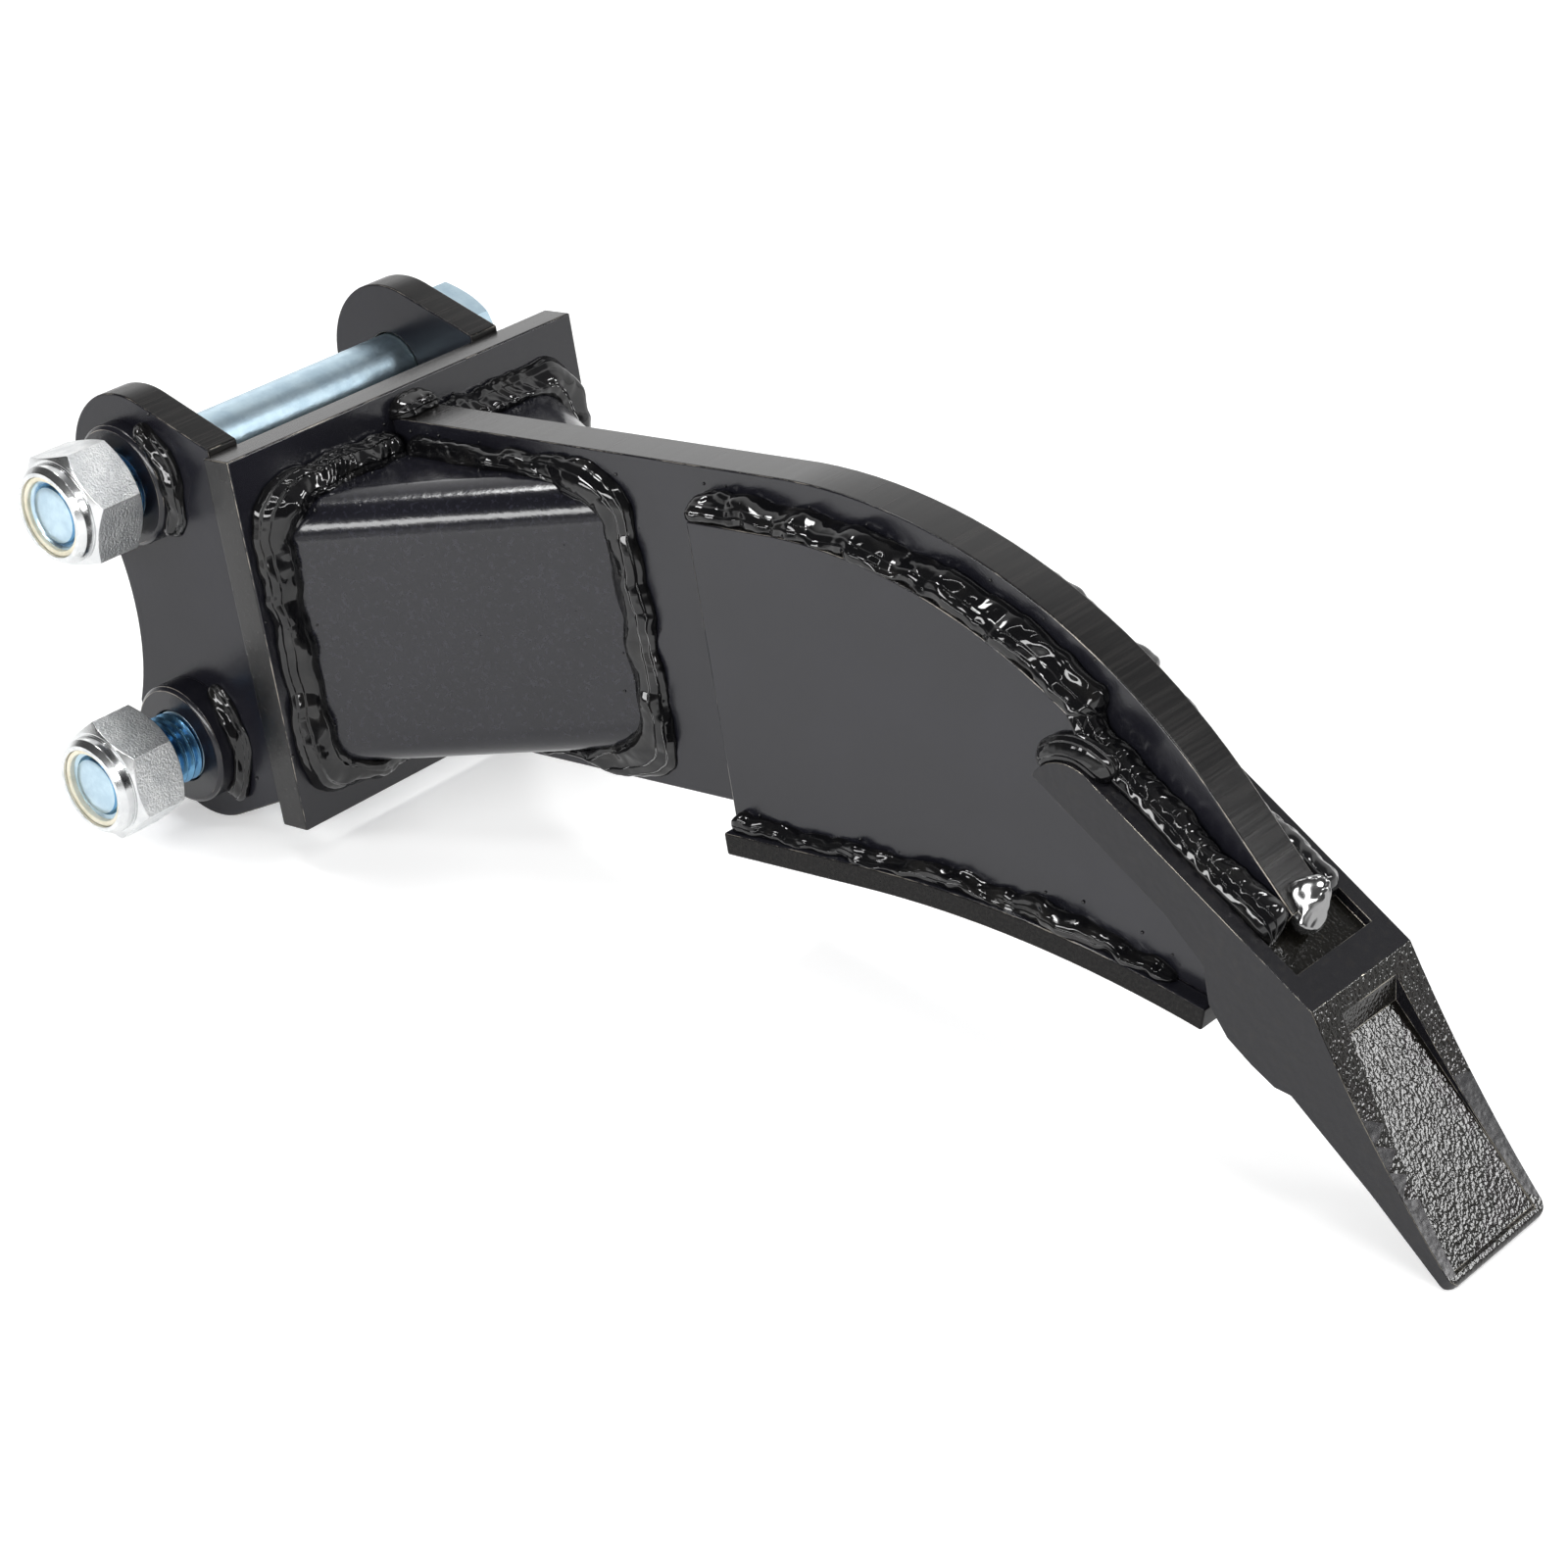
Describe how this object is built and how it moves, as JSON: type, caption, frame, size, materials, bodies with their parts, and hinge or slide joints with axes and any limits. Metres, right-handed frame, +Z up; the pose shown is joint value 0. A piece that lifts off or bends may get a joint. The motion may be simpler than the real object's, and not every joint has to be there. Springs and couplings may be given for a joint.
{
  "type": "ripper shank tooth",
  "caption": "Pin-on ripper for a small excavator: forked cast tooth on a bent, welded shank with gussets and a two-ear head held by hitch bolts.",
  "frame": {"origin": "on the floor, under the middle of the part's bounding box, with the part resting on its ears and its tooth tip", "axes": "+X from the head toward the tooth tip, +Y along the hitch bolts away from the nuts, +Z up"},
  "size_m": [0.5078, 0.199, 0.1637],
  "materials": {
    "plate_black": "gloss",
    "cast_black": "gloss over rough casting",
    "weld_black": "high gloss",
    "bolt_zinc": "pale blue zinc",
    "nut_steel": "bright zinc",
    "insert_nylon": "satin"
  },
  "bodies": {
    "root": {"head_plate": "plate_black", "ear_right": "plate_black", "ear_left": "plate_black", "boss_upper_right": "plate_black", "boss_upper_left": "plate_black", "boss_lower_right": "plate_black", "boss_lower_left": "plate_black", "bolt_upper": "bolt_zinc", "bolt_lower": "bolt_zinc", "nut_upper": "nut_steel", "nut_lower": "nut_steel", "insert_upper": "insert_nylon", "insert_lower": "insert_nylon", "shank": "plate_black", "cheek_right": "plate_black", "cheek_left": "plate_black", "sole_bar": "plate_black", "gusset_right": "plate_black", "gusset_left": "plate_black", "tooth": "cast_black", "weld_boss_upper_right": "weld_black", "weld_boss_upper_left": "weld_black", "weld_boss_lower_right": "weld_black", "weld_boss_lower_left": "weld_black", "weld_head": "weld_black", "weld_gusset_head_right": "weld_black", "weld_gusset_head_left": "weld_black", "weld_gusset_shank_right": "weld_black", "weld_gusset_shank_left": "weld_black", "weld_cheek_right": "weld_black", "weld_cheek_left": "weld_black", "weld_sole_right": "weld_black", "weld_sole_left": "weld_black", "weld_fork_right": "weld_black", "weld_fork_left": "weld_black", "weld_nose": "weld_black"}
  },
  "joints": []
}
